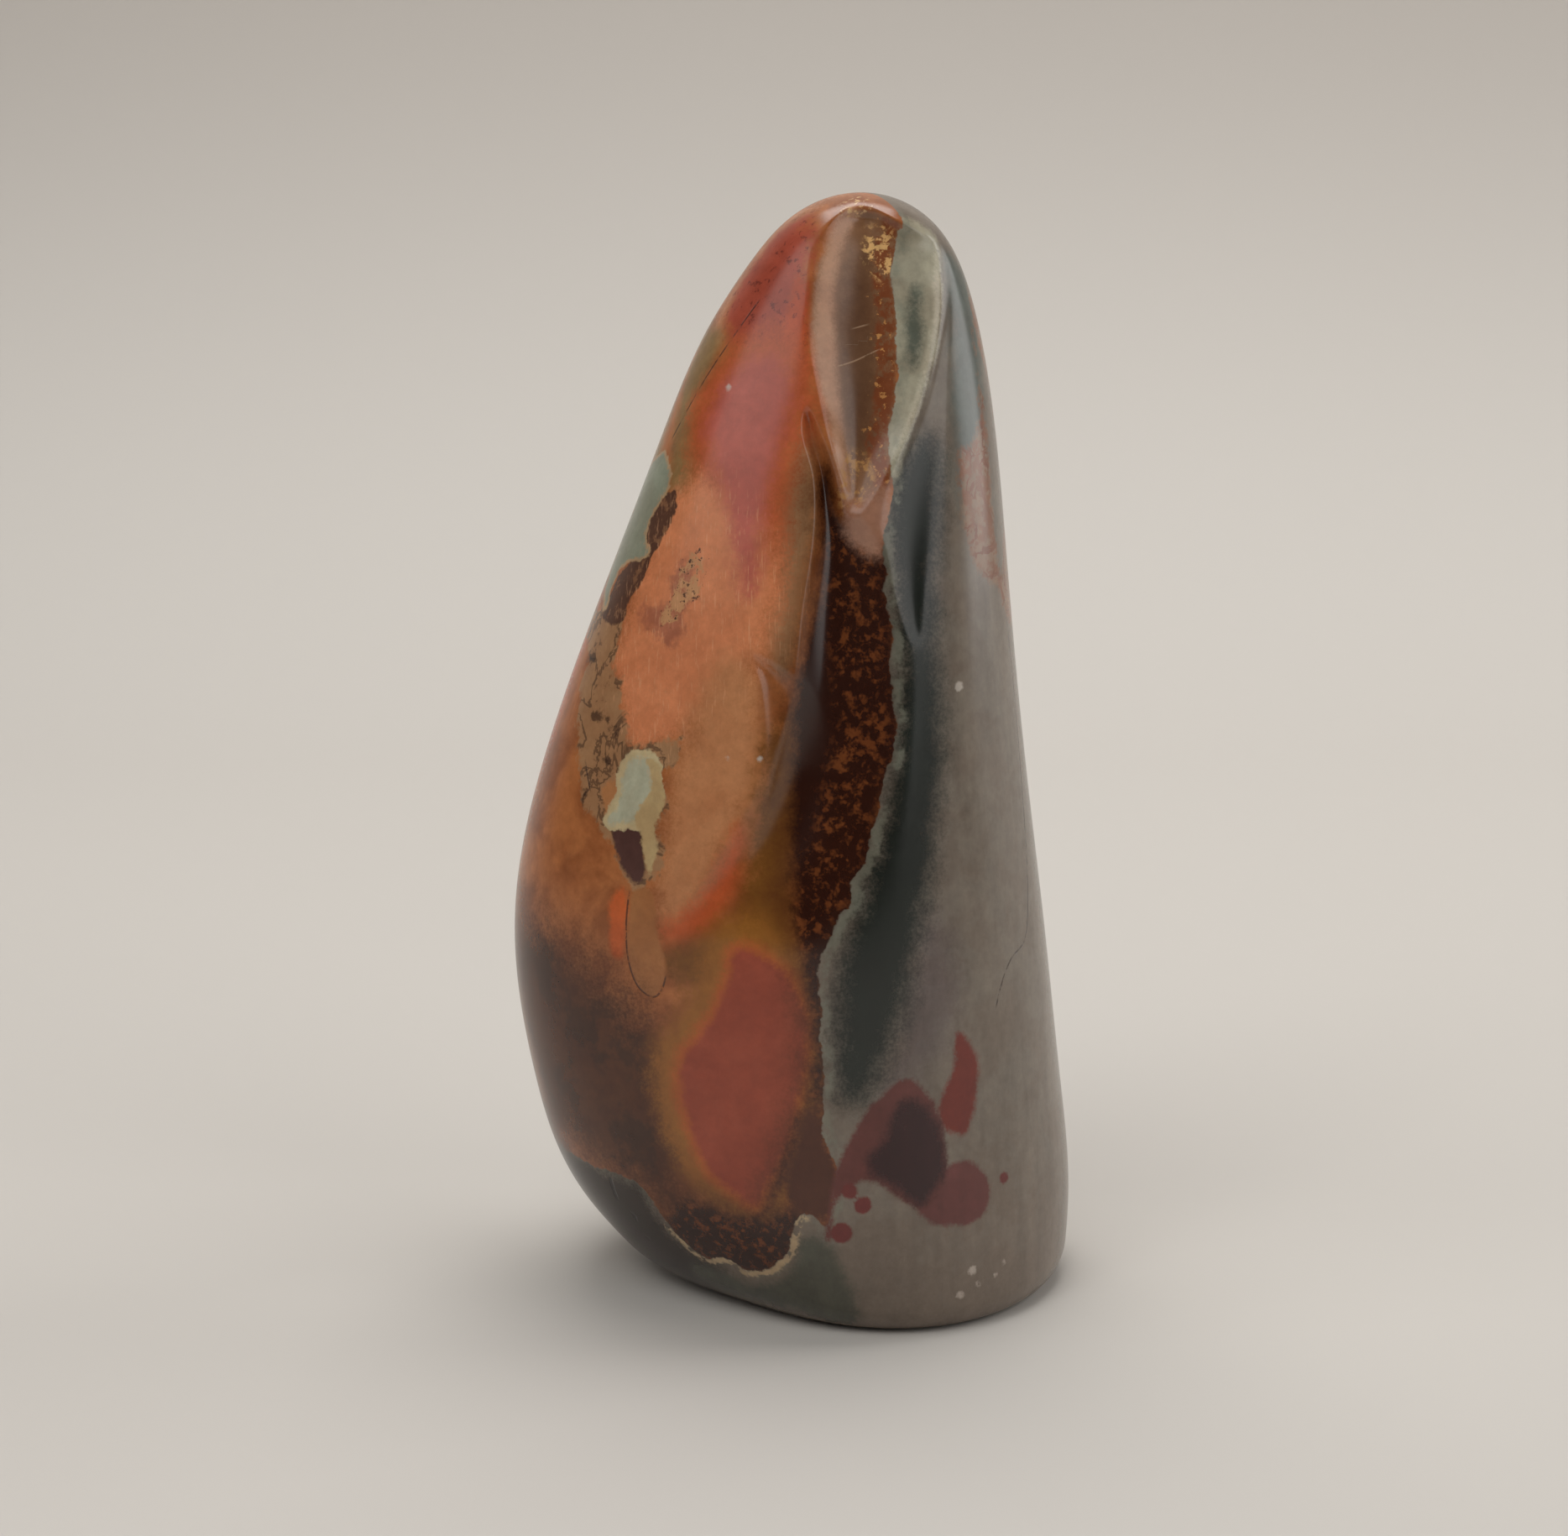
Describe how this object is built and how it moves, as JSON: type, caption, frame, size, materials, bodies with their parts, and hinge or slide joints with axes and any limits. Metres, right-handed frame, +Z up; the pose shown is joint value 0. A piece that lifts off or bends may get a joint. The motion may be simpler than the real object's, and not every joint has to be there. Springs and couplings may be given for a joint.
{
  "type": "polychrome jasper freeform",
  "caption": "Polished flame-shaped freeform stone of polychrome jasper, standing on a small flat cut foot, with a leaf-shaped scoop and a long groove ground into its front.",
  "frame": {"origin": "on the surface that the stone stands on, under the middle of the stone's bounding box", "axes": "+Z up through the stone's length, +X to the right and -Y towards the viewer, who sees the scoop and the groove on the front"},
  "size_m": [0.0833, 0.0649, 0.16],
  "materials": {
    "jasper": "polished"
  },
  "bodies": {
    "root": {"jasper_stone": "jasper"}
  },
  "joints": []
}
